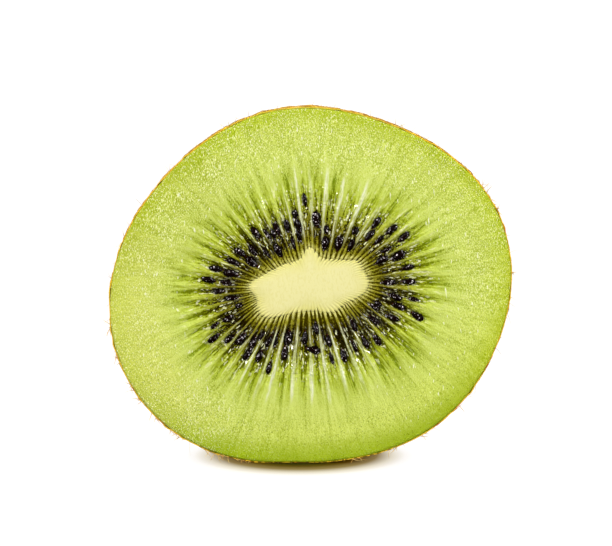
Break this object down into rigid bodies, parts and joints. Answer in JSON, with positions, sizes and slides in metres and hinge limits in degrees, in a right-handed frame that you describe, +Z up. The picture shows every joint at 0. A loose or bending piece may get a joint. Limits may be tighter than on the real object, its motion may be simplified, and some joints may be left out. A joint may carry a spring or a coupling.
{
  "type": "kiwifruit slice",
  "caption": "Thick crosswise slice of green kiwifruit, skin on, standing on its rim; seeded flesh ring round a pale core that runs through it.",
  "frame": {"origin": "on the surface the slice stands on, under the middle of its width and thickness", "axes": "+Z up; the two cut faces look along -Y and +Y; +X to the right of someone looking at the -Y face"},
  "size_m": [0.0554, 0.0142, 0.0489],
  "materials": {
    "flesh": "moist translucent green fruit flesh, darker and wet round the seeds, finely speckled towards the skin",
    "core": "moist pale cream fruit core, faintly fibrous",
    "skin": "thin brown fruit skin, mottled, with short stiff hairs",
    "seed": "glossy black-brown seed, wet"
  },
  "bodies": {
    "root": {"flesh": "flesh", "core": "core"}
  },
  "joints": []
}
